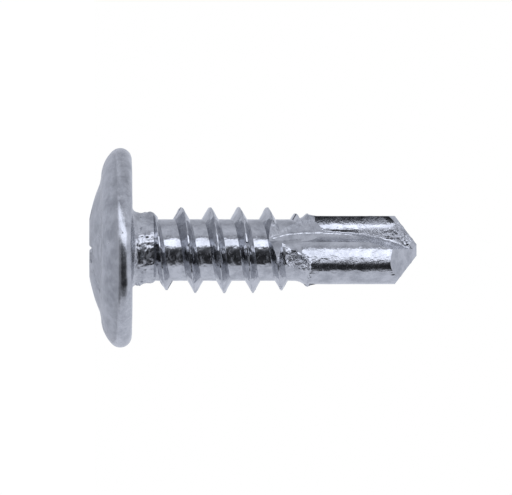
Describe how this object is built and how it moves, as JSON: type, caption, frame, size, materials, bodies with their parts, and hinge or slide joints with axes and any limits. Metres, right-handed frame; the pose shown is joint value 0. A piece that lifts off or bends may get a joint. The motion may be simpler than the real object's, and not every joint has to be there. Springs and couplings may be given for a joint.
{
  "type": "self drilling screw",
  "caption": "Zinc plated wafer head self drilling screw with a cross recess, a spaced right-hand thread and a fluted drill point, for fastening thin sheet to steel framing.",
  "frame": {"origin": "middle of the flat round the cross recess, on the head's axis, where the screw stands on its head", "axes": "+Z along the screw from the drive face to the drill point; -Y is the side that shows one lobe's rake groove at -X"},
  "size_m": [0.0098, 0.0096, 0.016],
  "materials": {
    "zinc_plate": "bright zinc plate on carbon steel, softly mottled"
  },
  "bodies": {
    "root": {"screw": "zinc_plate"}
  },
  "joints": []
}
